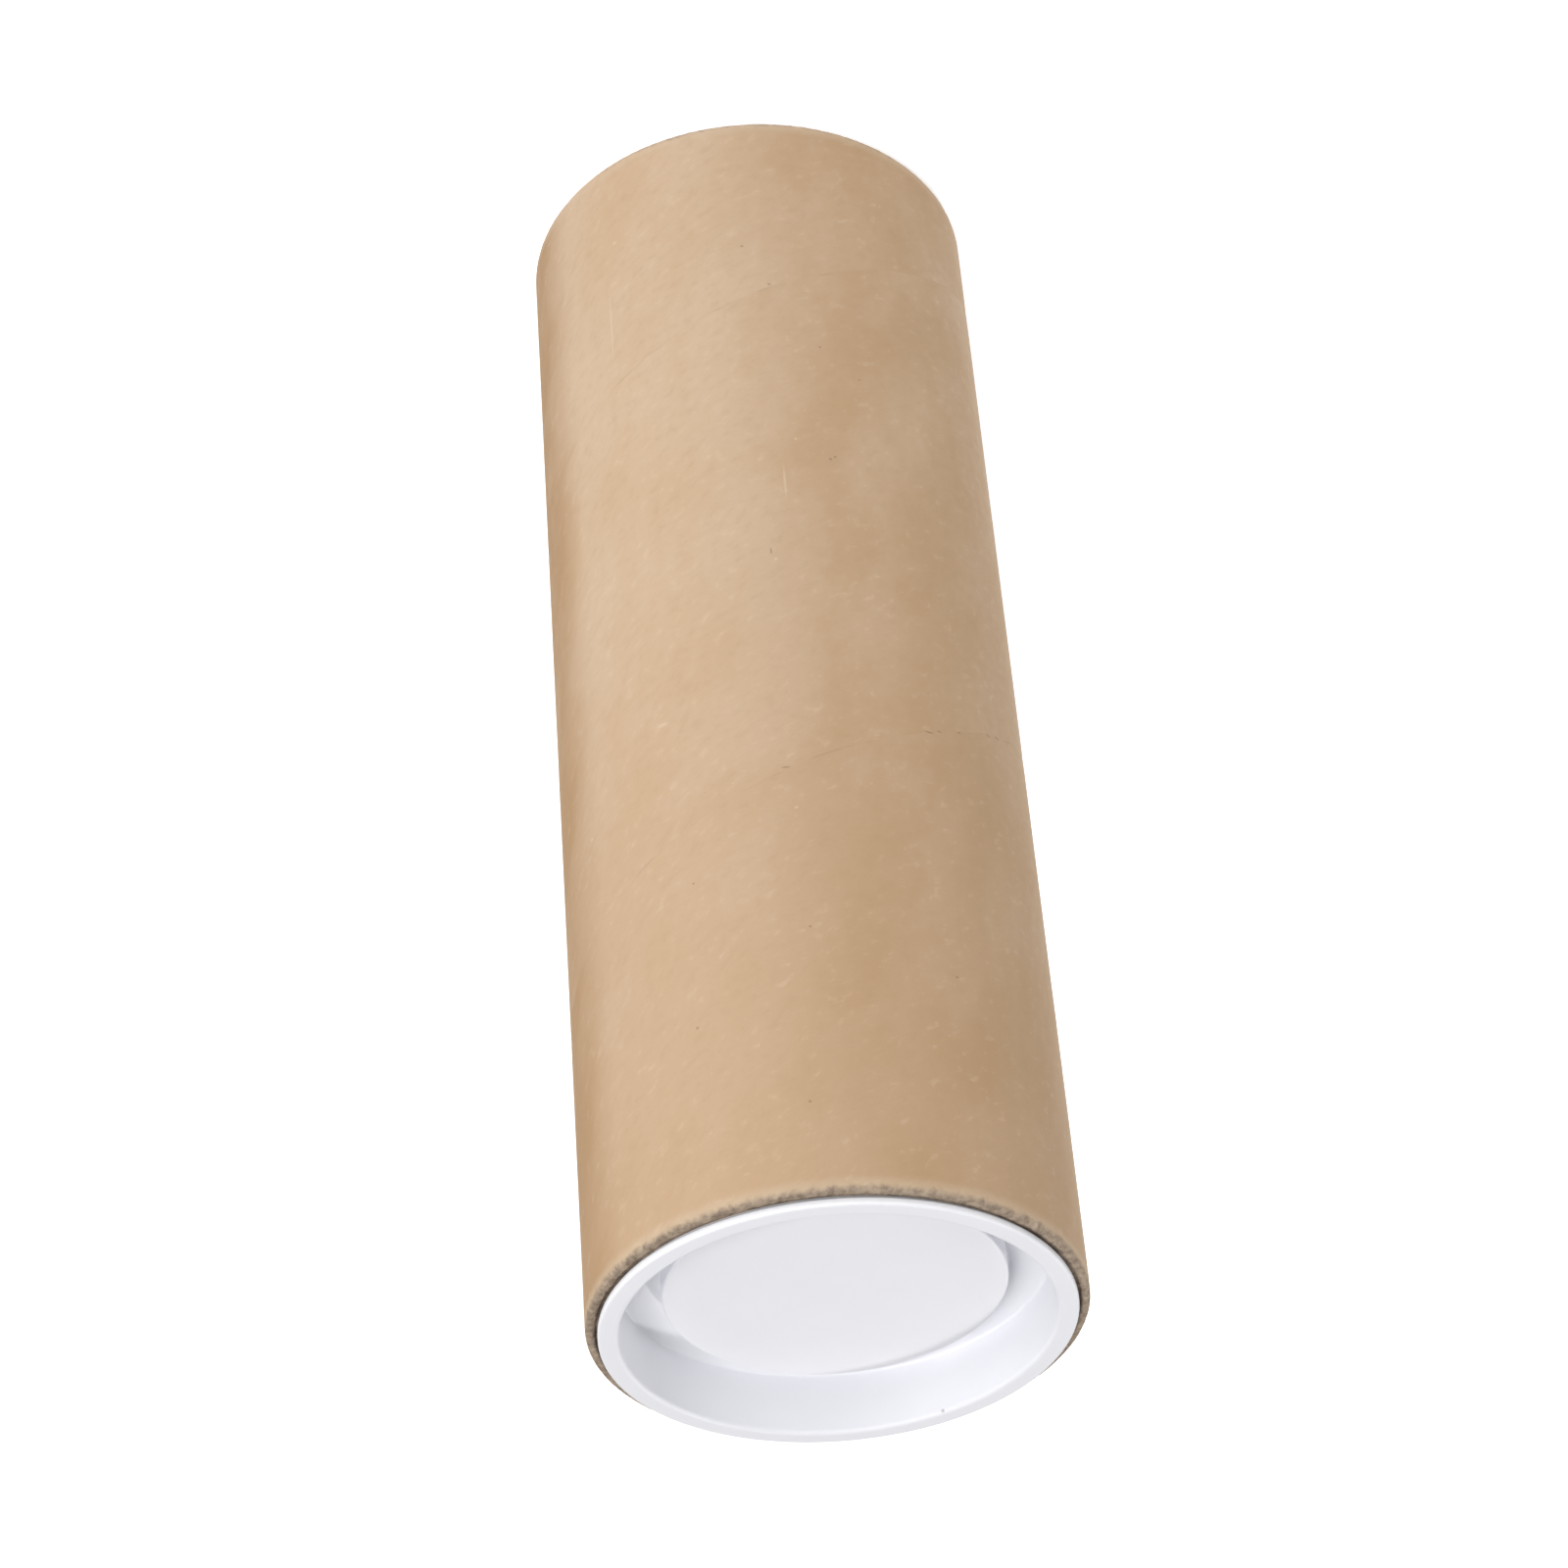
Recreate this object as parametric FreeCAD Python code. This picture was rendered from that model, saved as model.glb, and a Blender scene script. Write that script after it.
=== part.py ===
# A cardboard mailing tube standing on its end, closed by a white plastic plug at each end.
#
# The tube is one spirally wound wall. Each plug is one moulding: a flange that rests on the cut
# end, a skirt that grips the bore, and a stepped web that closes it, with a raised round panel
# inside a trough. Both plugs are the same moulding and pull straight out along the axis.
#
# The wall's wound plies are glued into one solid, and the outermost strip's seam lies flush.
#
# Frame: +Z up the tube's axis, origin in the middle of the surface that the lower plug rests on.
import FreeCAD
import Part
import math
import os

# Tube: wound from kraft strips
BORE_RADIUS = 25.4
WALL = 1.6
TUBE_LENGTH = 152.4
EDGE_ROUND = 0.6

# Plug: flange over the cut end, skirt in the bore
FLANGE_OVERLAP = 0.3
FLANGE_HEIGHT = 0.9
FLANGE_ROUND = 0.4
MOUTH_ROUND = 0.2
PLUG_CLEARANCE = 0.06
PLUG_DEPTH = 16.0
SKIRT_WALL = 1.94
LEAD_IN_LENGTH = 1.5
LEAD_IN_WIDTH = 0.5

# Web that closes the plug: depths are taken from the flange's outer face
TROUGH_DEPTH = 7.3
PANEL_DEPTH = 4.7
TROUGH_WIDTH = 4.8
WEB = 1.4
PANEL_ROUND = 0.5
TROUGH_FILLET = 1.1
INNER_FILLET = 0.4

# Worked out from the values above
TUBE_RADIUS = BORE_RADIUS + WALL
TUBE_BOTTOM = FLANGE_HEIGHT
TUBE_TOP = TUBE_BOTTOM + TUBE_LENGTH
SKIRT_RADIUS = BORE_RADIUS - PLUG_CLEARANCE
SKIRT_BORE = SKIRT_RADIUS - SKIRT_WALL
FLANGE_RADIUS = BORE_RADIUS + FLANGE_OVERLAP
PANEL_RADIUS = SKIRT_BORE - TROUGH_WIDTH

ORIGIN = FreeCAD.Vector(0, 0, 0)
AXIS = FreeCAD.Vector(0, 0, 1)
ACROSS = FreeCAD.Vector(1, 0, 0)


def point(radius, height):
    """A point of a section in the XZ half plane."""
    return FreeCAD.Vector(radius, 0, height)


def rounded_section(corners):
    """A face whose outline runs through corners of (radius, height, rounding), each rounded by an
    arc that touches both of its sides."""
    arcs = []
    for i, (radius, height, rounding) in enumerate(corners):
        here = point(radius, height)
        if not rounding:
            arcs.append((here, None, here))
            continue
        before = (point(*corners[i - 1][:2]) - here).normalize()
        after = (point(*corners[(i + 1) % len(corners)][:2]) - here).normalize()
        half = before.getAngle(after) / 2
        reach = rounding / math.tan(half)
        middle = here + (before + after).normalize() * rounding * (1 / math.sin(half) - 1)
        arcs.append((here + before * reach, middle, here + after * reach))
    edges = []
    for i, (start, middle, end) in enumerate(arcs):
        if middle:
            edges.append(Part.Arc(start, middle, end).toShape())
        edges.append(Part.makeLine(end, arcs[(i + 1) % len(arcs)][0]))
    return Part.Face(Part.Wire(edges))


def turned(corners):
    """A solid turned about the Z axis from a rounded section."""
    solid = rounded_section(corners).revolve(ORIGIN, AXIS, 360)
    return Part.Solid(solid.Shells[0])


def make_tube():
    """The wound wall, with its two cut ends rounded off outside."""
    return turned([
        (BORE_RADIUS, TUBE_BOTTOM, 0),
        (TUBE_RADIUS, TUBE_BOTTOM, EDGE_ROUND),
        (TUBE_RADIUS, TUBE_TOP, EDGE_ROUND),
        (BORE_RADIUS, TUBE_TOP, 0),
    ])


def make_plug():
    """One plug, with the tube's cut end at height 0 and its outer face upwards."""
    face = FLANGE_HEIGHT
    trough = face - TROUGH_DEPTH
    panel = face - PANEL_DEPTH
    return turned([
        (0, panel, 0),
        (PANEL_RADIUS, panel, PANEL_ROUND),
        (PANEL_RADIUS, trough, INNER_FILLET),
        (SKIRT_BORE, trough, TROUGH_FILLET),
        (SKIRT_BORE, face, MOUTH_ROUND),
        (FLANGE_RADIUS, face, FLANGE_ROUND),
        (FLANGE_RADIUS, 0, 0),
        (SKIRT_RADIUS, 0, 0),
        (SKIRT_RADIUS, LEAD_IN_LENGTH - PLUG_DEPTH, 0),
        (SKIRT_RADIUS - LEAD_IN_WIDTH, -PLUG_DEPTH, 0),
        (SKIRT_BORE, -PLUG_DEPTH, 0),
        (SKIRT_BORE, trough - WEB, 0),
        (PANEL_RADIUS - WEB, trough - WEB, 0),
        (PANEL_RADIUS - WEB, panel - WEB, 0),
        (0, panel - WEB, 0),
    ])


def make_top_cap():
    """The plug of the photographed end, its flange on the tube's upper cut end."""
    plug = make_plug()
    plug.translate(AXIS * TUBE_TOP)
    return plug


def make_bottom_cap():
    """The plug that the tube stands on, turned over so that its flange faces down."""
    plug = make_plug()
    plug.rotate(ORIGIN, ACROSS, 180)
    plug.translate(AXIS * TUBE_BOTTOM)
    return plug


def main():
    os.makedirs("parts", exist_ok=True)
    pieces = {
        "tube": make_tube(),
        "top_cap": make_top_cap(),
        "bottom_cap": make_bottom_cap(),
    }
    for name, shape in pieces.items():
        box = shape.optimalBoundingBox(False)
        print(name, "solids", len(shape.Solids), "valid", shape.isValid(),
              "volume", round(shape.Volume, 1), "faces", len(shape.Faces),
              "z", round(box.ZMin, 3), round(box.ZMax, 3), "width", round(box.XLength, 3))
        shape.exportStep("parts/" + name + ".step")


main()
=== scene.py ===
# %% [markdown]
# A cardboard mailing tube stands on its end. White plastic plugs close both ends of it.
# The tube is wound from strips of kraft paper that run round it like a ribbon round a stick, so one
# faint spiral seam shows on its outside. Each plug is a single moulding with a rim, a deep wall and a
# raised round panel in the middle of its floor.
#
# Both shapes are round, so both are made the same way: a section is drawn in radius and height, and
# then carried round the axis. The fine things follow the same two numbers, angle and height.
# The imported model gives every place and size, and nothing here moves it.

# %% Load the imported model
import math

import bpy
import numpy as np
from mathutils import Matrix, Vector


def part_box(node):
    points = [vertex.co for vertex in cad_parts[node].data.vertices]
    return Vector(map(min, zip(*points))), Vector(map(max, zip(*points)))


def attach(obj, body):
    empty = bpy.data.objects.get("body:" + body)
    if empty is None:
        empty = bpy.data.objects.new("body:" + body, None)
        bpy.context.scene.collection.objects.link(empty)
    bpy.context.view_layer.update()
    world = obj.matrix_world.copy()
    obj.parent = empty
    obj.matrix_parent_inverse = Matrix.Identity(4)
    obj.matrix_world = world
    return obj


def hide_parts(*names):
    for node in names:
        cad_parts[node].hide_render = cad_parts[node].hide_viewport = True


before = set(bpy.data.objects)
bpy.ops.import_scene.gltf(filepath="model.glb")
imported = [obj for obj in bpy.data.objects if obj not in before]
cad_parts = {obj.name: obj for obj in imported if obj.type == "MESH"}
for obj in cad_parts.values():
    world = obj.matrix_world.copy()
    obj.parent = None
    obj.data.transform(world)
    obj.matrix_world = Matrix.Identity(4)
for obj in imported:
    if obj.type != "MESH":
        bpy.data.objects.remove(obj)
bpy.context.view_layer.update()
print("packed nodes:", sorted(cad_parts))

# %% [markdown]
# Sizes come first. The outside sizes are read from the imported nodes, so the two models can't drift
# apart. The thin ones, such as a wall or a rounding, are named in millimetres, because that is how a
# maker would say them, and turned into metres where a shape is built.

# %% Read the sizes of the tube and the plugs
MM = 0.001
tube_low, tube_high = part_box("tube")
cap_low, cap_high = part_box("top_cap")

TUBE_RADIUS = tube_high.x / MM
TUBE_BOTTOM = tube_low.z / MM
TUBE_TOP = tube_high.z / MM
WALL = 1.6
BORE_RADIUS = TUBE_RADIUS - WALL

RIM_RADIUS = cap_high.x / MM
RIM_HEIGHT = cap_high.z / MM - TUBE_TOP
PLUG_DEPTH = TUBE_TOP - cap_low.z / MM

SEAM_PITCH = 70.0
SEAM_BELOW_TOP = 60.6
SEAM_TURN = math.radians(-125.6)
print("tube", round(2 * TUBE_RADIUS, 2), "mm across,", round(TUBE_TOP - TUBE_BOTTOM, 2), "mm long")
print("plug rim", round(2 * RIM_RADIUS, 2), "mm across and", round(RIM_HEIGHT, 2), "mm high")

# %% [markdown]
# A turned shape needs a section whose corners are rounded, as no moulded or cut edge is ever quite
# sharp. A corner can be rounded by a Bevel modifier, but then the amount is the same everywhere and the
# middle of a flat face starts to shade like a cushion. Here each corner carries its own radius,
# and each straight run gets a point close to both of its ends, which keeps flat faces looking flat.

# %% Draw a section with rounded corners
ARC_STEPS = 8
GUARD = 0.08


def unit(vectors):
    """Each vector divided by its own length."""
    return vectors / np.linalg.norm(vectors, axis=-1, keepdims=True)


def corner_arc(spot, before, after, rounding):
    """Points on the arc that touches both sides of a corner. Its centre lies on the line that halves
    the corner, rounding / sin(half angle) away, and it turns through pi less the corner's angle."""
    to_before = unit(before - spot)
    to_after = unit(after - spot)
    half = 0.5 * math.acos(float(to_before @ to_after))
    centre = spot + unit(to_before + to_after) * rounding / math.sin(half)
    first = spot + to_before * rounding / math.tan(half) - centre
    last = spot + to_after * rounding / math.tan(half) - centre
    turn = math.pi - 2 * half
    share = np.linspace(0, 1, ARC_STEPS)[:, None]
    return centre + (np.sin((1 - share) * turn) * first + np.sin(share * turn) * last) / math.sin(turn)


def straight_run(start, end, spacing):
    """Points strictly between two places, none further apart than the spacing, and the first and the
    last of them a small guard distance from the ends."""
    length = float(np.linalg.norm(end - start))
    guard = min(GUARD, length / 4)
    steps = max(1, math.ceil((length - 2 * guard) / spacing))
    travel = np.linspace(guard, length - guard, steps + 1)[:, None]
    return start + (end - start) * travel / length


def section(corners, spacing, closed):
    """Radius and height along a section, as an array of two columns. A corner is (radius, height,
    rounding). An open section begins and ends with a corner on the axis, which has no rounding."""
    spots = np.array([corner[:2] for corner in corners])
    arcs = []
    for i, (spot, (_, _, rounding)) in enumerate(zip(spots, corners)):
        if rounding:
            arcs.append(corner_arc(spot, spots[i - 1], spots[(i + 1) % len(spots)], rounding))
        else:
            arcs.append(spot[None])
    parts = []
    for i, arc in enumerate(arcs):
        parts.append(arc)
        if closed or i + 1 < len(arcs):
            parts.append(straight_run(arc[-1], arcs[(i + 1) % len(arcs)][0], spacing))
    return np.concatenate(parts)


# %% [markdown]
# Next comes the step from numbers to a mesh. Every shape below is a grid of places, rows along the
# section and columns round the axis. The four neighbours of each cell make a face. The last column
# joins the first, so there is no open seam, and a row that lies on the axis becomes a single point with
# a fan of triangles. The sign of the enclosed volume tells whether the faces look outwards.

# %% Turn a grid of places into a mesh


def grid_faces(rows, columns, closed):
    """Corner numbers of the faces of a grid whose columns close on themselves: cell (r, c) has the
    corners (r, c), (r, c+1), (r+1, c+1) and (r+1, c), each number taken modulo the grid's size."""
    row = np.arange(rows if closed else rows - 1)[:, None]
    column = np.arange(columns)[None]
    next_row = (row + 1) % rows
    next_column = (column + 1) % columns
    cells = [row * columns + column, row * columns + next_column,
             next_row * columns + next_column, next_row * columns + column]
    return np.stack(cells, -1).reshape(-1, 4)


def fan_faces(pole, ring_start, columns):
    """Triangles that join one point on the axis to each side of a ring of points."""
    column = np.arange(columns)
    around = ring_start + column
    onward = ring_start + (column + 1) % columns
    return np.stack([np.full(columns, pole), around, onward], -1)


def enclosed_volume(places, triangles):
    """Sum over the triangles of (a . b x c) / 6, which is positive when they look outwards."""
    a, b, c = (places[triangles[:, i]] for i in range(3))
    return float(np.einsum("ij,ij->i", a, np.cross(b, c)).sum()) / 6


def grid_object(name, places, closed):
    """An object from places in metres, shaped (rows, columns, 3). Closed joins the last row to the
    first. Otherwise the first and the last row lie on the axis and become one point each."""
    rows, columns, _ = places.shape
    if closed:
        points = places.reshape(-1, 3)
        quads = grid_faces(rows, columns, True)
        fans = np.empty((0, 3), int)
    else:
        inner = places[1:-1].reshape(-1, 3)
        points = np.concatenate([inner, places[:1, 0], places[-1:, 0]])
        quads = grid_faces(rows - 2, columns, False)
        start = fan_faces(len(inner), 0, columns)[:, ::-1]
        end = fan_faces(len(inner) + 1, (rows - 3) * columns, columns)
        fans = np.concatenate([start, end])
    triangles = np.concatenate([quads[:, [0, 1, 2]], quads[:, [0, 2, 3]], fans])
    if enclosed_volume(points, triangles) < 0:
        quads = quads[:, ::-1]
        fans = fans[:, ::-1]
    mesh = bpy.data.meshes.new(name)
    mesh.from_pydata(points.tolist(), [], quads.tolist() + fans.tolist())
    mesh.polygons.foreach_set("use_smooth", np.ones(len(mesh.polygons), bool))
    mesh.update()
    made = bpy.data.objects.new(name, mesh)
    bpy.context.scene.collection.objects.link(made)
    print(name, "has", len(triangles), "triangles, volume",
          round(abs(enclosed_volume(points, triangles)) / MM ** 3 / 1000, 2), "cm3")
    return made


def carried_round(radius, height, angle):
    """Places in metres of a section carried round the axis: (radius cos angle, radius sin angle,
    height), for arrays that share the shape (rows, columns)."""
    return np.stack([radius * np.cos(angle), radius * np.sin(angle), height + 0 * angle], -1) * MM


# %% [markdown]
# The wound wall. A strip of paper of one width is wound on at a slant, and its edges meet along a
# screw line that climbs one pitch a turn. The strips below it do the same half a pitch away, and
# their seams show through as a very soft ridge. The whole wall could be a plain cylinder with a bump
# map, but then the seam would be in the picture only and not in the mesh, so it is a real
# dip. To spend points where they are needed, the rows of the grid are drawn towards the seam.

# %% Follow the screw line
TAU = 2 * math.pi
SEAM_HEIGHT = TUBE_TOP - SEAM_BELOW_TOP


def from_seam(angle, height):
    """Height above the nearest pass of the seam, from minus half a pitch to half a pitch. The seam is
    at SEAM_HEIGHT where the angle is SEAM_TURN, and it climbs one pitch a turn."""
    turns = (height - SEAM_HEIGHT) / SEAM_PITCH - (angle - SEAM_TURN) / TAU
    return (turns - np.round(turns)) * SEAM_PITCH


def waves(angle, counts, seed):
    """A smooth wobble round the axis between about -1 and 1: a sum of cosines with whole numbers of
    waves, so that it closes on itself, and with phases drawn from a seeded generator."""
    phases = np.random.default_rng(seed).uniform(0, TAU, len(counts))
    total = sum(np.cos(count * angle + phase) for count, phase in zip(counts, phases))
    return total / math.sqrt(len(counts))


# %% Build the tube's wall
TUBE_COLUMNS = 384
EDGE_ROUND = 0.6
BORE_EDGE = 0.15
REBATE_RADIUS = RIM_RADIUS + 0.22
REBATE_DEPTH = 0.22
REBATE_ROUND = 0.08
WALL_SPACING = 1.9
DRAW_REACH = 6.0
DRAW_FADE = 6.0
SEAM_DIP = 0.03
SEAM_DIP_WIDTH = 0.7
GHOST_RIDGE = 0.015
GHOST_WIDTH = 1.6
OUT_OF_ROUND = 0.02
WOBBLE_LENGTH = 90.0
FRAY = 0.05
FRAY_FADE = 1.2 * EDGE_ROUND


def draw_to_seam(angle, height):
    """Height moved towards the seam: within DRAW_REACH of it, a share t of the reach becomes t
    squared. The move fades out over the last few millimetres at both ends of the tube."""
    away = from_seam(angle, height)
    share = np.clip(np.abs(away) / DRAW_REACH, 0, 1)
    moved = np.sign(away) * DRAW_REACH * share ** 2
    to_end = np.minimum(height - TUBE_BOTTOM, TUBE_TOP - height)
    fade = np.clip((to_end - EDGE_ROUND) / DRAW_FADE, 0, 1)
    return height + np.where(share < 1, moved - away, 0) * fade


def wall_relief(angle, height):
    """How far the outside stands off a true cylinder: a dip that follows the seam, a soft ridge
    half a pitch from it, and a long wobble that leaves the tube slightly out of round."""
    away = from_seam(angle, height)
    ghost = np.abs(away) - SEAM_PITCH / 2
    dip = -SEAM_DIP * np.exp(-(away / SEAM_DIP_WIDTH) ** 2)
    ridge = GHOST_RIDGE * np.exp(-(ghost / GHOST_WIDTH) ** 2)
    wobble = waves(angle, (2, 3, 5), 4) * np.cos((height - TUBE_BOTTOM) / WOBBLE_LENGTH)
    return dip + ridge + OUT_OF_ROUND * (wobble - 1)


def wall_places():
    """The wall as a grid: a closed section of outside, cut end, bore and cut end. Outside points
    get the relief, and points of the cut ends are roughened like torn fibres."""
    outline = section([
        (TUBE_RADIUS, TUBE_BOTTOM, EDGE_ROUND),
        (TUBE_RADIUS, TUBE_TOP, EDGE_ROUND),
        (REBATE_RADIUS, TUBE_TOP, REBATE_ROUND),
        (REBATE_RADIUS, TUBE_TOP - REBATE_DEPTH, REBATE_ROUND),
        (BORE_RADIUS, TUBE_TOP - REBATE_DEPTH, BORE_EDGE),
        (BORE_RADIUS, TUBE_BOTTOM + REBATE_DEPTH, BORE_EDGE),
        (REBATE_RADIUS, TUBE_BOTTOM + REBATE_DEPTH, REBATE_ROUND),
        (REBATE_RADIUS, TUBE_BOTTOM, REBATE_ROUND),
    ], WALL_SPACING, True)
    flat_radius, flat_height = outline[:, :1], outline[:, 1:]
    angle = np.linspace(0, TAU, TUBE_COLUMNS, endpoint=False)[None]
    to_end = np.minimum(flat_height - TUBE_BOTTOM, TUBE_TOP - flat_height)
    outside = np.clip((flat_radius - REBATE_RADIUS) / (TUBE_RADIUS - REBATE_RADIUS), 0, 1)
    on_wall = (outside > 0.98) & (to_end > EDGE_ROUND)
    height = np.where(on_wall, draw_to_seam(angle, flat_height), flat_height)
    radius = flat_radius + outside * wall_relief(angle, height)
    torn = np.random.default_rng(7).normal(0, 1, radius.shape)
    on_cut = np.clip(1 - to_end / FRAY_FADE, 0, 1) * (flat_radius > BORE_RADIUS + BORE_EDGE)
    inwards = np.where(flat_height > (TUBE_TOP + TUBE_BOTTOM) / 2, -1, 1)
    height = height + on_cut * inwards * FRAY * np.abs(torn)
    radius = radius - on_cut * outside * FRAY * np.abs(np.roll(torn, 3, 1))
    return carried_round(radius, height, angle)


wall = grid_object("wound_wall", wall_places(), True)
print("the seam passes", round(SEAM_HEIGHT, 1), "mm up and climbs", SEAM_PITCH, "mm a turn")

# %% [markdown]
# The plug is one thin moulding. Its rim is a low flat ring with rounded edges that sits on the cut
# end, its wall goes down into the bore, and its floor is a trough round a raised, flat, round panel.
# It could be modelled by extruding and insetting a circle, but a section shows the wall's thickness at
# every place at a glance. The section starts in the middle of the panel's upper face and ends in the
# middle of its lower face, so the moulding is one closed skin.

# %% Build the plugs
CAP_COLUMNS = 384
CAP_SPACING = 1.1
PLUG_CLEARANCE = 0.06
SKIRT_RADIUS = BORE_RADIUS - PLUG_CLEARANCE
SKIRT_WALL = 1.94
MOUTH_RADIUS = SKIRT_RADIUS - SKIRT_WALL
TROUGH_WIDTH = 4.8
PANEL_RADIUS = MOUTH_RADIUS - TROUGH_WIDTH
TROUGH_DEPTH = 7.3
PANEL_DEPTH = 4.7
WEB = 1.4
RIM_ROUND = 0.3
RIM_UNDERCUT = 0.15
MOUTH_ROUND = 0.45
PANEL_ROUND = 0.3
TROUGH_FILLET = 0.3
INNER_FILLET = 0.4
HIDDEN_ROUND = 0.2
LEAD_IN_LENGTH = 1.5
LEAD_IN_WIDTH = 0.5
PANEL_SINK = 0.05
LIP_WAVE = 0.015
LIP_SHIFT = 1.6


def plug_places():
    """The plug as a grid, with the tube's cut end at height 0 and its outer face upwards. The
    panel sinks slightly to its middle by (1 - (r / panel radius) squared), as a moulding does when it
    cools, and the lip waves inwards a few hundredths of a millimetre."""
    face = RIM_HEIGHT
    trough = face - TROUGH_DEPTH
    panel = face - PANEL_DEPTH
    outline = section([
        (0, panel, 0),
        (PANEL_RADIUS, panel, PANEL_ROUND),
        (PANEL_RADIUS, trough, INNER_FILLET),
        (MOUTH_RADIUS, trough, TROUGH_FILLET),
        (MOUTH_RADIUS, face, MOUTH_ROUND),
        (RIM_RADIUS, face, RIM_ROUND),
        (RIM_RADIUS, 0, RIM_UNDERCUT),
        (SKIRT_RADIUS, 0, PLUG_CLEARANCE / 4),
        (SKIRT_RADIUS, LEAD_IN_LENGTH - PLUG_DEPTH, HIDDEN_ROUND),
        (SKIRT_RADIUS - LEAD_IN_WIDTH, -PLUG_DEPTH, HIDDEN_ROUND),
        (MOUTH_RADIUS, -PLUG_DEPTH, HIDDEN_ROUND),
        (MOUTH_RADIUS, trough - WEB, INNER_FILLET),
        (PANEL_RADIUS - WEB, trough - WEB, HIDDEN_ROUND),
        (PANEL_RADIUS - WEB, panel - WEB, INNER_FILLET),
        (0, panel - WEB, 0),
    ], CAP_SPACING, False)
    radius, height = outline[:, :1], outline[:, 1:]
    angle = np.linspace(0, TAU, CAP_COLUMNS, endpoint=False)[None]
    sink = PANEL_SINK * np.clip(1 - (radius / PANEL_RADIUS) ** 2, 0, 1)
    on_lip = np.clip((radius - MOUTH_RADIUS) / (RIM_RADIUS - MOUTH_RADIUS), 0, 1) * (height > 0)
    wave = LIP_WAVE * (waves(angle, (3, 4, 7), 11) - LIP_SHIFT)
    return carried_round(radius + on_lip * wave, height - sink + 0 * angle, angle)


def placed(places, turned_over, height):
    """Places moved to where a plug sits. Turning over about the X axis changes the sign of Y and Z."""
    signs = (1, -1, -1) if turned_over else (1, 1, 1)
    return places * signs + np.array([0, 0, height * MM])


plug = plug_places()
top_plug = grid_object("top_plug", placed(plug, False, TUBE_TOP), False)
bottom_plug = grid_object("bottom_plug", placed(plug, True, TUBE_BOTTOM), False)
print("the panel is", round(2 * PANEL_RADIUS, 1), "mm across and", PANEL_DEPTH, "mm below the rim")

# %% [markdown]
# Materials are node trees, and node trees are long to write out. Small helpers keep them short. One
# adds any node and takes a number or another node's output for each input. The others use it for a
# step of arithmetic, a blend of two colours, a smooth rise and a noise.

# %% Write node trees briefly


def linear(red, green, blue):
    """A colour given as it looks on screen, 0 to 255, as the linear values that a shader takes."""
    shown = np.array([red, green, blue]) / 255
    bent = np.where(shown <= 0.04045, shown / 12.92, ((shown + 0.055) / 1.055) ** 2.4)
    return (*bent.tolist(), 1)


def add(tree, kind, inputs, **settings):
    """A new node of a kind. Settings are its properties, and inputs are its sockets by name or number:
    an output of another node is linked, anything else is set as the value."""
    made = tree.nodes.new("ShaderNode" + kind)
    for name, value in settings.items():
        setattr(made, name, value)
    for name, value in inputs.items():
        if isinstance(value, bpy.types.NodeSocket):
            tree.links.new(value, made.inputs[name])
        else:
            made.inputs[name].default_value = value
    return made


def maths(tree, operation, *values):
    """The result of one step of arithmetic on numbers or outputs."""
    return add(tree, "Math", dict(enumerate(values)), operation=operation).outputs[0]


def blend(tree, share, first, second):
    """A share, 0 to 1, of the way from the first colour to the second."""
    return add(tree, "Mix", {0: share, 6: first, 7: second}, data_type="RGBA").outputs[2]


def step(tree, value, low, high):
    """0 below low, 1 above high, and a smooth rise between. With low above high it falls instead."""
    made = add(tree, "MapRange", {"Value": value, "From Min": low, "From Max": high},
               interpolation_type="SMOOTHSTEP")
    return made.outputs["Result"]


def part_of(tree, share, amount):
    """A share scaled down to that amount at most."""
    return maths(tree, "MULTIPLY", share, amount)


def cloud(tree, place, size, detail=2.0, roughness=0.5):
    """Noise from 0 to 1 whose blobs are about that many millimetres across, where place is in
    millimetres."""
    inputs = {"Vector": place, "Scale": 1 / size, "Detail": detail, "Roughness": roughness}
    return add(tree, "TexNoise", inputs).outputs["Fac"]


def new_material(name):
    """An empty material with its shader and output, and the object's own coordinates in millimetres."""
    material = bpy.data.materials.new(name)
    material.use_nodes = True
    tree = material.node_tree
    tree.nodes.clear()
    shader = add(tree, "BsdfPrincipled", {})
    add(tree, "OutputMaterial", {"Surface": shader.outputs[0]})
    here = add(tree, "TexCoord", {}).outputs["Object"]
    place = add(tree, "VectorMath", {0: here, "Scale": 1 / MM}, operation="SCALE").outputs[0]
    return material, tree, shader, place


# %% [markdown]
# Kraft paper is pale brown and matt. Close to, it is a felt of fibres that lie mostly along the strip,
# with cloudy patches where the pulp is thicker and small dark flecks. A noise on plain coordinates
# would run straight through the seam. So the material unrolls the strip first: it works out how
# many turns the strip has made at each point and how far across the strip the point is. In those
# coordinates the pattern is continuous along the paper and breaks only at the seam, as on the real tube.

# %% Unroll the strip


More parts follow.
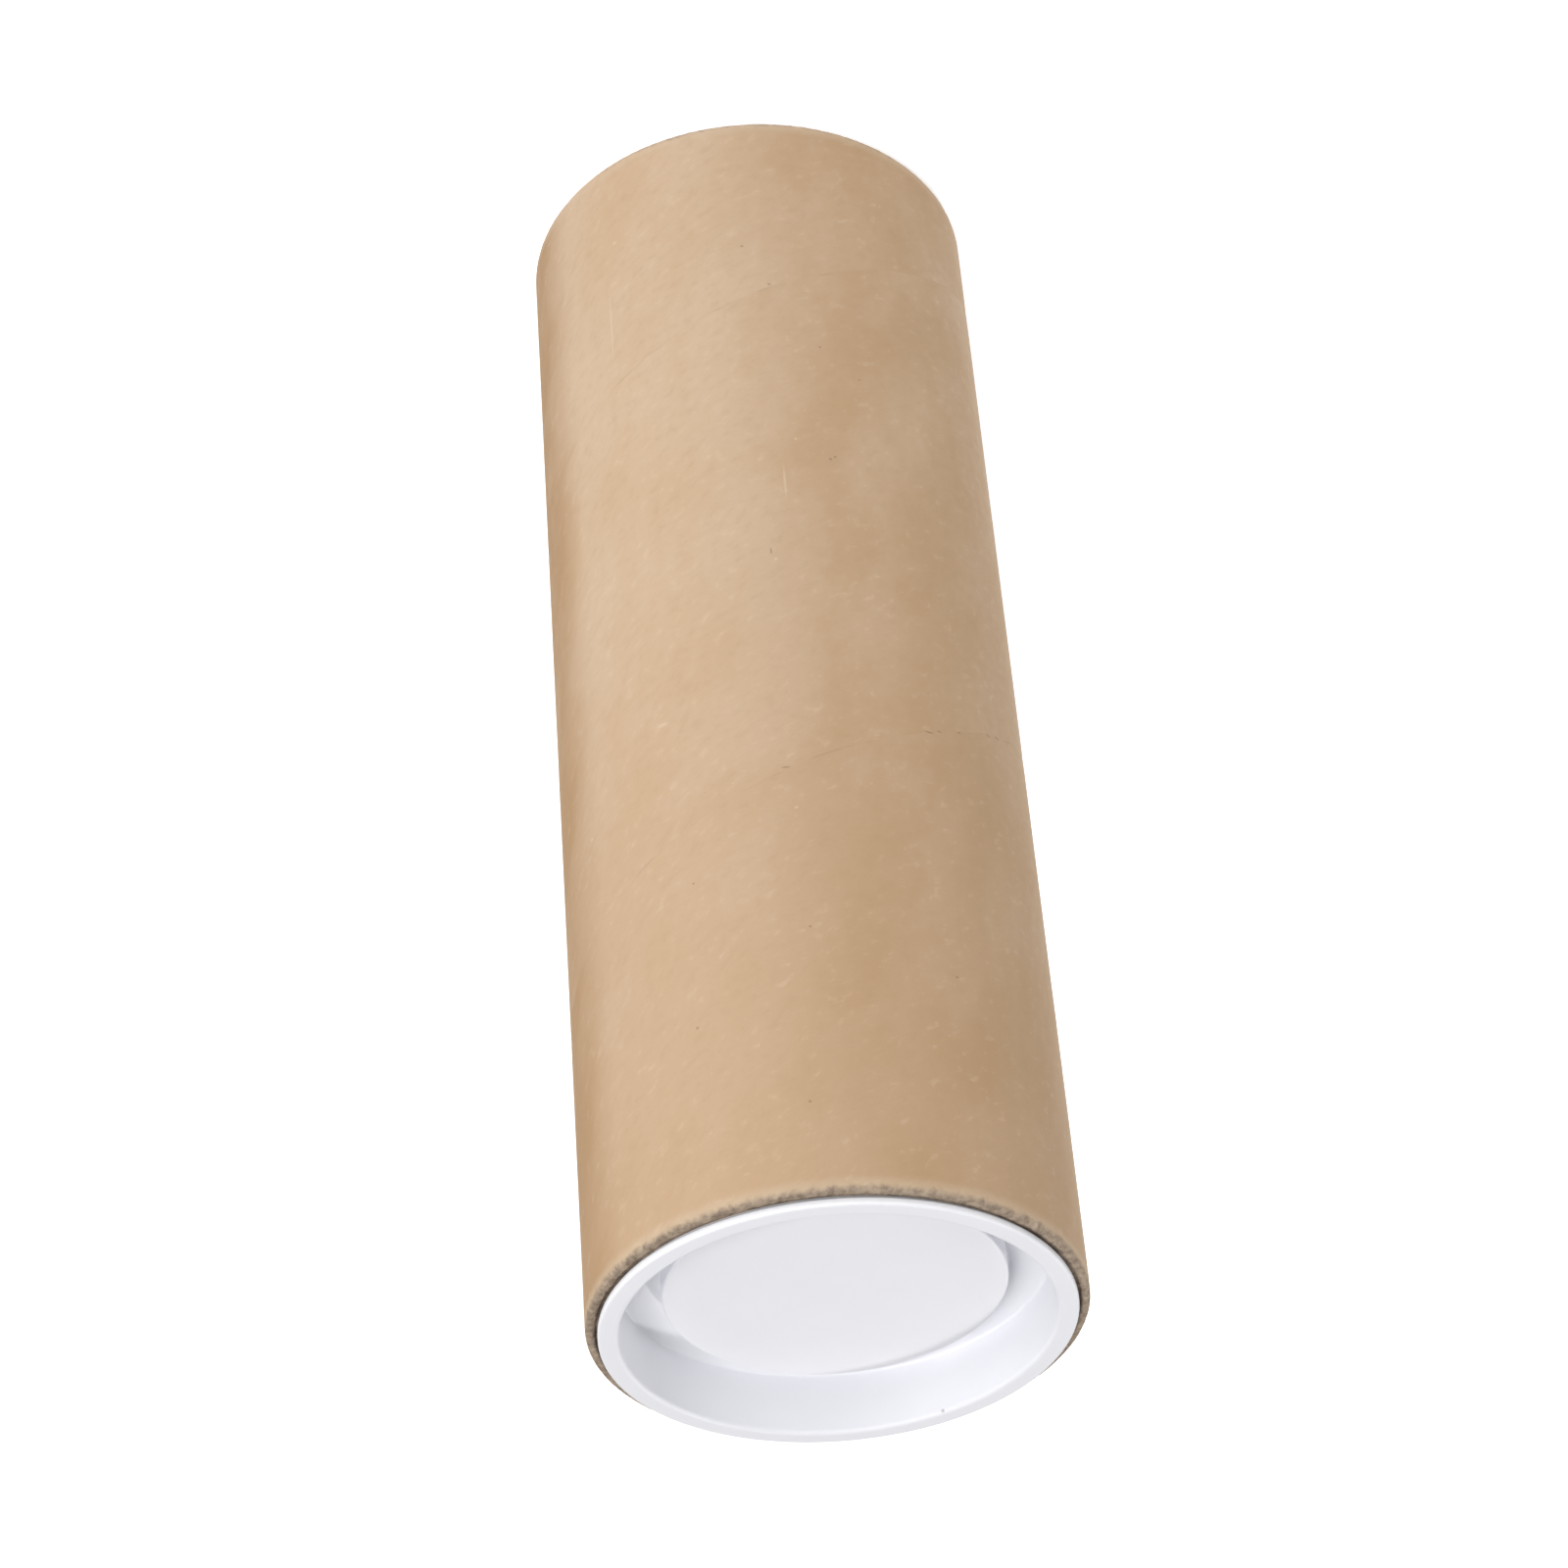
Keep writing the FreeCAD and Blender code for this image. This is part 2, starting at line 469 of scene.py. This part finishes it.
def unrolled(tree, place):
    """Along, across and off the strip in millimetres, and the distance to the seam. With h as the
    height in pitches less the angle in turns, the whole part of h counts the strip's turns, and
    the rest of it is the share of the way across the strip."""
    split = add(tree, "SeparateXYZ", {0: place})
    x, y, z = split.outputs
    angle = maths(tree, "ARCTAN2", y, x)
    squares = maths(tree, "MULTIPLY_ADD", x, x, maths(tree, "MULTIPLY", y, y))
    radius = maths(tree, "SQRT", squares)
    offset = SEAM_HEIGHT / SEAM_PITCH - SEAM_TURN / TAU
    pitches = maths(tree, "SUBTRACT", maths(tree, "DIVIDE", z, SEAM_PITCH), offset)
    turns = maths(tree, "SUBTRACT", pitches, maths(tree, "DIVIDE", angle, TAU))
    whole = maths(tree, "FLOOR", turns)
    share = maths(tree, "SUBTRACT", turns, whole)
    wound = maths(tree, "MULTIPLY_ADD", whole, TAU, angle)
    along = maths(tree, "MULTIPLY", wound, TUBE_RADIUS)
    across = maths(tree, "MULTIPLY", share, SEAM_PITCH)
    nearer = maths(tree, "MINIMUM", share, maths(tree, "SUBTRACT", 1.0, share))
    slant = math.cos(math.atan(SEAM_PITCH / (TAU * TUBE_RADIUS)))
    to_seam = maths(tree, "MULTIPLY", nearer, SEAM_PITCH * slant)
    strip = add(tree, "CombineXYZ", {0: along, 1: across, 2: radius}).outputs[0]
    return strip, to_seam, radius, z


def stretched(tree, place, along, across):
    """Coordinates squeezed so that a noise on them is drawn out that many times along the strip."""
    squeeze = (1 / along, 1 / across, 1)
    return add(tree, "VectorMath", {0: place, 1: squeeze}, operation="MULTIPLY").outputs[0]


# %% [markdown]
# The tube in the picture has marks of its own: dark flecks in the pulp, a few dashes along the seam,
# and pale scratches and rubs. Each is an ellipse on the surface. A Mapping node of the Texture kind
# moves, turns and shrinks the coordinates so that the ellipse becomes a ball of radius one, and the
# length of the result says how near its middle a point is.

# %% Place the marks
FACING = math.radians(-90)
MARK_DEPTH = 3.0


def mark(tree, place, around, below, width, length, edge):
    """1 inside an ellipse on the tube's wall and 0 outside. Around is its angle from the -Y side in
    degrees, below its distance under the tube's top; width and length are half sizes. The mark is at
    its full strength within the share of its size that edge gives."""
    angle = FACING - math.radians(around)
    centre = (TUBE_RADIUS * math.cos(angle), TUBE_RADIUS * math.sin(angle), TUBE_TOP - below)
    local = add(tree, "Mapping", {
        "Vector": place,
        "Location": centre,
        "Rotation": (0, 0, angle),
        "Scale": (MARK_DEPTH, width, length),
    }, vector_type="TEXTURE").outputs[0]
    away = add(tree, "VectorMath", {0: local}, operation="LENGTH").outputs["Value"]
    return step(tree, away, 1.0, edge)


def facing(tree, place, around):
    """The cosine of the angle about the axis between a point and a direction that many degrees
    round from the -Y side."""
    angle = FACING - math.radians(around)
    outwards = add(tree, "VectorMath", {0: place, 1: (1, 1, 0)}, operation="MULTIPLY").outputs[0]
    outwards = add(tree, "VectorMath", {0: outwards}, operation="NORMALIZE").outputs[0]
    direction = (math.cos(angle), math.sin(angle), 0)
    return add(tree, "VectorMath", {0: outwards, 1: direction}, operation="DOT_PRODUCT").outputs["Value"]


# painted shade on the sides; each is (around, cosine where the band begins, strength)
SHADE_BANDS = [
    (38.0, 0.64, 0.48),
    (-84.0, 0.84, 1.00),
]
# each is (around, below, half width, half length)
DARK_FLECKS = [
    (16.6, 98.1, 0.30, 0.26),
    (17.8, 98.5, 0.24, 0.22),
    (-0.1, 84.3, 0.16, 0.60),
    (5.2, 125.3, 0.26, 0.24),
    (-0.8, 131.7, 0.24, 0.24),
    (35.6, 27.9, 0.22, 0.22),
    (-2.0, 10.9, 0.22, 0.22),
    (16.7, 115.5, 0.22, 0.22),
    (-26.6, 22.9, 0.22, 0.22),
    (1.4, 32.6, 0.20, 0.20),
    (-25.1, 41.2, 0.20, 0.20),
    (26.4, 111.3, 0.20, 0.20),
    (35.6, 60.6, 0.85, 0.17),
    (38.6, 61.2, 0.45, 0.15),
    (45.0, 62.3, 0.40, 0.16),
    (56.5, 64.7, 0.60, 0.15),
    (60.8, 65.5, 0.70, 0.15),
    (-1.0, 53.8, 0.70, 0.14),
]
PALE_MARKS = [
    (4.7, 94.5, 0.22, 3.2),
    (0.9, 83.1, 0.30, 0.35),
    (-38.5, 126.0, 0.20, 8.0),
    (-35.8, 138.9, 0.50, 0.40),
    (0.6, 48.3, 0.35, 0.30),
    (-57.3, 55.3, 0.40, 0.40),
    (-30.6, 63.8, 1.10, 0.35),
    (8.3, 100.9, 0.30, 0.30),
]

# %% Make the kraft card material
DARKENING_FROM = 30.0
DARKENING_SHARE = 0.38
PALE_SHARE = 0.30
FLECK_SHARE = 0.50
# each reach is (where its effect begins, where it is full), in millimetres
FRAY_REACH = (2.1, 0.7)
CUT_REACH = (0.85, 0.10)
BORE_REACH = (BORE_RADIUS + 0.10, BORE_RADIUS + 0.02)
GAP_REACH = (REBATE_RADIUS + 0.35, REBATE_RADIUS)
PAPER_ROUGHNESS = 0.66
EDGE_RAGGED = 1.3
GAP_RAGGED = 0.9
LIGHT_KRAFT = linear(188, 164, 139)
WARM_KRAFT = linear(179, 151, 117)
DEEP_KRAFT = linear(157, 131, 99)
DARKENED_KRAFT = linear(158, 126, 90)
CUT_CARD = linear(170, 152, 132)
CUT_CARD_DARK = linear(130, 114, 99)
FRAYED_CARD = linear(190, 172, 149)
GAP_SHADE = linear(84, 73, 66)
FLECK = linear(104, 84, 62)
PALE = linear(206, 188, 165)
LINER = linear(162, 138, 110)
SEAM_SHADE = linear(140, 116, 90)

kraft, tree, shader, place = new_material("kraft_card")
strip, to_seam, radius, z = unrolled(tree, place)

patches = step(tree, cloud(tree, stretched(tree, strip, 1.0, 1.6), 12.0, 4.0, 0.6), 0.30, 0.72)
felt = cloud(tree, stretched(tree, strip, 1.3, 1.0), 1.3, 3.0, 0.65)
fibres = cloud(tree, stretched(tree, strip, 2.4, 1.0), 0.30, 2.0, 0.6)
paper = blend(tree, part_of(tree, patches, 0.5), LIGHT_KRAFT, WARM_KRAFT)
# painted shade: bands that darken the tube's sides where less light falls, patchy with the paper's tone
for around, start, amount in SHADE_BANDS:
    band = part_of(tree, step(tree, facing(tree, place, around), start, 1.0), amount)
    painted_shade = maths(tree, "MULTIPLY", band, maths(tree, "MULTIPLY_ADD", patches, 0.5, 0.7))
    paper = blend(tree, painted_shade, paper, DARKENED_KRAFT)
# the paper grows smoothly darker towards the tube's top end
darker_upwards = part_of(tree, step(tree, z, DARKENING_FROM, TUBE_TOP), DARKENING_SHARE)
paper = blend(tree, darker_upwards, paper, DARKENED_KRAFT)
# each is (noise, where the tint begins, where it is full, amount, tint)
for noise, begins, full, amount, tint in (
    (felt, 0.48, 0.76, 0.18, DEEP_KRAFT),
    (felt, 0.44, 0.24, 0.18, PALE),
    (fibres, 0.50, 0.85, 0.08, DEEP_KRAFT),
    (fibres, 0.44, 0.20, 0.05, PALE),
):
    paper = blend(tree, part_of(tree, step(tree, noise, begins, full), amount), paper, tint)

dashes = step(tree, cloud(tree, strip, 5.0), 0.56, 0.68)
seam_share = maths(tree, "MULTIPLY_ADD", dashes, 0.30, 0.03)
seam_line = maths(tree, "MULTIPLY", step(tree, to_seam, 0.26, 0.08), seam_share)
paper = blend(tree, seam_line, paper, SEAM_SHADE)
for spot in PALE_MARKS:
    paper = blend(tree, part_of(tree, mark(tree, place, *spot, edge=0.2), PALE_SHARE), paper, PALE)
for spot in DARK_FLECKS:
    paper = blend(tree, part_of(tree, mark(tree, place, *spot, edge=0.3), FLECK_SHARE), paper, FLECK)

from_top = maths(tree, "SUBTRACT", TUBE_TOP, z)
from_bottom = maths(tree, "SUBTRACT", z, TUBE_BOTTOM)
from_end = maths(tree, "MINIMUM", from_top, from_bottom)
ragged = cloud(tree, place, 1.1, 4.0, 0.7)
uneven = maths(tree, "SUBTRACT", ragged, 0.5)
edge_height = maths(tree, "MULTIPLY_ADD", uneven, EDGE_RAGGED, from_end)
gap_radius = maths(tree, "MULTIPLY_ADD", uneven, GAP_RAGGED, radius)
frayed = step(tree, edge_height, *FRAY_REACH)
cut = step(tree, edge_height, *CUT_REACH)
in_bore = step(tree, radius, *BORE_REACH)
in_gap = step(tree, gap_radius, *GAP_REACH)

cut_mottle = cloud(tree, place, 0.95, 4.0, 0.7)
gap_patches = step(tree, cloud(tree, place, 5.0), 0.38, 0.62)
cut_colour = blend(tree, step(tree, cut_mottle, 0.34, 0.62), CUT_CARD_DARK, CUT_CARD)
cut_colour = blend(tree, step(tree, cut_mottle, 0.60, 0.74), cut_colour, FRAYED_CARD)
gap_share = maths(tree, "MULTIPLY", in_gap, maths(tree, "MULTIPLY_ADD", gap_patches, 0.50, 0.40))
cut_colour = blend(tree, gap_share, cut_colour, GAP_SHADE)

fray_share = maths(tree, "MULTIPLY", frayed, part_of(tree, ragged, 0.8))
lining = blend(tree, part_of(tree, felt, 0.5), LINER, DEEP_KRAFT)
colour = blend(tree, fray_share, paper, FRAYED_CARD)
colour = blend(tree, cut, colour, cut_colour)
colour = blend(tree, in_bore, colour, lining)
tree.links.new(colour, shader.inputs["Base Color"])

grain = maths(tree, "ADD", part_of(tree, felt, 0.5), part_of(tree, fibres, 0.5))
roughness = maths(tree, "MULTIPLY_ADD", grain, 0.2, PAPER_ROUGHNESS)
tree.links.new(roughness, shader.inputs["Roughness"])
torn = maths(tree, "MULTIPLY", maths(tree, "MULTIPLY", cut, cut_mottle), 3.0)
seam_cut = maths(tree, "MULTIPLY", step(tree, to_seam, 0.2, 0.05), maths(tree, "MULTIPLY", seam_share, -2.0))
surface_height = maths(tree, "ADD", grain, maths(tree, "ADD", torn, seam_cut))
bump = add(tree, "Bump", {"Height": surface_height, "Strength": 0.25, "Distance": 0.025 * MM})
tree.links.new(bump.outputs[0], shader.inputs["Normal"])
shader.inputs["Specular IOR Level"].default_value = 0.25
print("kraft card has", len(tree.nodes), "nodes")

# %% [markdown]
# The plugs are moulded in white polyethylene. It is satin rather than glossy, a little light goes
# into it and comes out again, and up close the colour drifts slightly from place to place. A plain
# white would do from far away, but the light would then slide over it too evenly, so the roughness
# varies too, and fine mould grain gives the highlights a soft edge.

# %% Make the white plastic material
WHITE = linear(238, 238, 242)
COOL_WHITE = linear(231, 231, 236)
SPECK = linear(150, 148, 150)
SPECK_PLACE = (-10.6, 20.86, TUBE_TOP + 0.6)
SPECK_SIZE = 0.3
SPECK_SHARE = 0.6
PLASTIC_ROUGHNESS = 0.46

plastic, tree, shader, place = new_material("white_polyethylene")
flow = cloud(tree, place, 9.0)
colour = blend(tree, part_of(tree, flow, 0.8), WHITE, COOL_WHITE)
to_speck = add(tree, "VectorMath", {0: place, 1: SPECK_PLACE}, operation="DISTANCE").outputs["Value"]
speck_share = part_of(tree, step(tree, to_speck, SPECK_SIZE, SPECK_SIZE / 3), SPECK_SHARE)
colour = blend(tree, speck_share, colour, SPECK)
tree.links.new(colour, shader.inputs["Base Color"])
mould = cloud(tree, place, 0.6, 3.0, 0.6)
roughness = maths(tree, "MULTIPLY_ADD", maths(tree, "ADD", flow, mould), 0.08, PLASTIC_ROUGHNESS)
tree.links.new(roughness, shader.inputs["Roughness"])
bump = add(tree, "Bump", {"Height": mould, "Strength": 0.25, "Distance": 0.02 * MM})
tree.links.new(bump.outputs[0], shader.inputs["Normal"])
shader.inputs["Specular IOR Level"].default_value = 0.35
shader.inputs["Subsurface Weight"].default_value = 0.12
shader.inputs["Subsurface Radius"].default_value = (0.9, 0.95, 1.0)
shader.inputs["Subsurface Scale"].default_value = 1.0 * MM
print("white polyethylene has", len(tree.nodes), "nodes")

# %% [markdown]
# Each new piece takes a material, rides on the body that moves it, and hides the plain solid that it
# stands for. The solids stay in the model for collisions.

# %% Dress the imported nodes
for piece, node, body, material, slot in (
    (wall, "tube", "tube", kraft, "kraft_cardboard"),
    (top_plug, "top_cap", "top_cap", plastic, "white_plastic"),
    (bottom_plug, "bottom_cap", "bottom_cap", plastic, "white_plastic"),
):
    piece.data.materials.append(material)
    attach(piece, body)
    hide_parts(node)
    print(piece.name, "stands for", node)

# %% [markdown]
# The floor is a wide pale sheet, so that the tube stands on something and nothing else is seen behind
# it. The picture's background is pure white. A floor that only reflects can't be whiter than the
# light on it, so it also glows, as a lit table in a photographer's studio does.

# %% Lay the floor
FLOOR_HALF = 4.0
FLOOR_GLOW = 0.55

corners = np.array([(-1, -1, 0), (1, -1, 0), (1, 1, 0), (-1, 1, 0)]) * FLOOR_HALF
floor_mesh = bpy.data.meshes.new("pale_floor")
floor_mesh.from_pydata(corners.tolist(), [], [(0, 1, 2, 3)])
floor = bpy.data.objects.new("pale_floor", floor_mesh)
bpy.context.scene.collection.objects.link(floor)
paper_white, tree, shader, place = new_material("pale_floor")
tone = cloud(tree, place, 120.0)
colour = blend(tree, tone, (0.93, 0.93, 0.93, 1), (0.95, 0.95, 0.95, 1))
tree.links.new(colour, shader.inputs["Base Color"])
shader.inputs["Roughness"].default_value = 0.9
shader.inputs["Specular IOR Level"].default_value = 0.0
shader.inputs["Emission Color"].default_value = (1, 1, 1, 1)
shader.inputs["Emission Strength"].default_value = FLOOR_GLOW
floor_mesh.materials.append(paper_white)
print("floor is", 2 * FLOOR_HALF, "m wide")

# %% [markdown]
# The light is soft and comes mostly from high in front, with two weaker lights from the sides, a low
# one in front and faint white surroundings to fill the shadows. A small light high behind the tube
# reaches over the rim into the plug's trough. Area lights were chosen because their size sets how soft
# a shadow is: a larger one wraps further round the tube.

# %% Set the lights
WORLD_STRENGTH = 0.08
AIM = Vector((0.0009, 0.0, 0.0819))

world = bpy.data.worlds.new("white_surroundings")
bpy.context.scene.world = world
world.use_nodes = True
background = world.node_tree.nodes["Background"]
background.inputs["Color"].default_value = (1, 1, 1, 1)
background.inputs["Strength"].default_value = WORLD_STRENGTH


def area_light(name, direction, distance, size, power):
    """A square soft light at a distance from the aim point, in a direction, turned to face it."""
    data = bpy.data.lights.new(name, "AREA")
    data.size = size
    data.energy = power
    made = bpy.data.objects.new(name, data)
    away = Vector(direction).normalized()
    made.location = AIM + away * distance
    made.rotation_euler = away.to_track_quat("Z", "Y").to_euler()
    bpy.context.scene.collection.objects.link(made)
    print(name, "at", [round(value, 2) for value in made.location])


area_light("left_light", (1.0, -0.05, 0.3), 1.2, 0.6, 3.6)
area_light("high_front_light", (0.5, -0.85, 1.05), 1.2, 0.7, 10.9)
area_light("low_front_light", (-0.25, -1.0, 0.4), 1.2, 0.6, 2.2)
area_light("right_light", (-1.0, -0.05, 0.4), 1.2, 0.6, 2.8)
area_light("back_light", (-0.5, 0.87, 0.80), 1.1, 0.08, 4.0)

# %% [markdown]
# The camera is placed as a fit of the picture's outlines says. The picture shows the tube with its
# plugged end low and turned towards the viewer. A tube that could roll away stands on its end here, so
# the camera is turned over instead, which gives the same picture.

# %% Place the camera
CAMERA_PLACE = Vector((0.0, -0.39815, 0.37505))
PICTURE_UP = Vector((-0.0866, -0.5906, -0.8023))
LENS = 97.56
SENSOR = 36.0

forward = (AIM - CAMERA_PLACE).normalized()
right = forward.cross(PICTURE_UP).normalized()
upward = right.cross(forward)
camera_data = bpy.data.cameras.new("camera")
camera_data.lens = LENS
camera_data.sensor_width = SENSOR
camera = bpy.data.objects.new("camera", camera_data)
turn = Matrix((right, upward, -forward)).transposed().to_4x4()
camera.matrix_world = Matrix.Translation(CAMERA_PLACE) @ turn
bpy.context.scene.collection.objects.link(camera)
bpy.context.scene.camera = camera
bpy.context.scene.view_settings.view_transform = "Standard"
print("camera looks down by", round(math.degrees(math.asin(-forward.z)), 1), "degrees")

# %% Update the scene and finish
bpy.context.view_layer.update()
